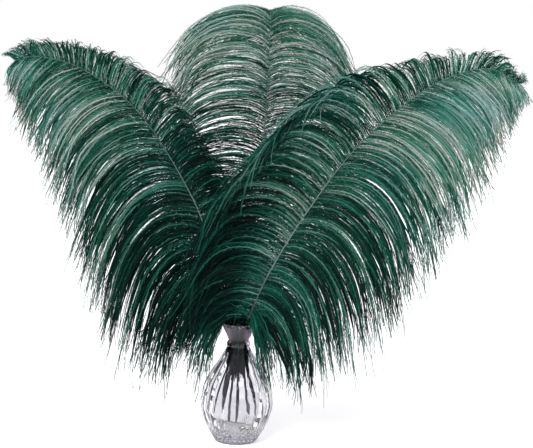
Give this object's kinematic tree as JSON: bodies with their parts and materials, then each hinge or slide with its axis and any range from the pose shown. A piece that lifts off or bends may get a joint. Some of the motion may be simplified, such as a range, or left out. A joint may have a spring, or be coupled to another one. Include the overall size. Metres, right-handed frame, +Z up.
{
  "type": "ostrich feathers in a glass vase",
  "caption": "Dyed green ostrich plumes with long drooping barbs, standing fanned out in a small fluted clear glass bud vase.",
  "frame": {"origin": "centre of the vase's foot, on the surface it stands on", "axes": "+Z up, -Y towards the front that the picture shows, +X to the viewer's right along the spread of the plumes"},
  "size_m": [0.5188, 0.1917, 0.4422],
  "materials": {
    "glass": "clear, fluted, polished",
    "plume": "soft downy barbs, dyed deep green"
  },
  "bodies": {
    "root": {"vase": "glass", "feather_left": "plume", "feather_centre": "plume", "feather_right": "plume"}
  },
  "joints": []
}
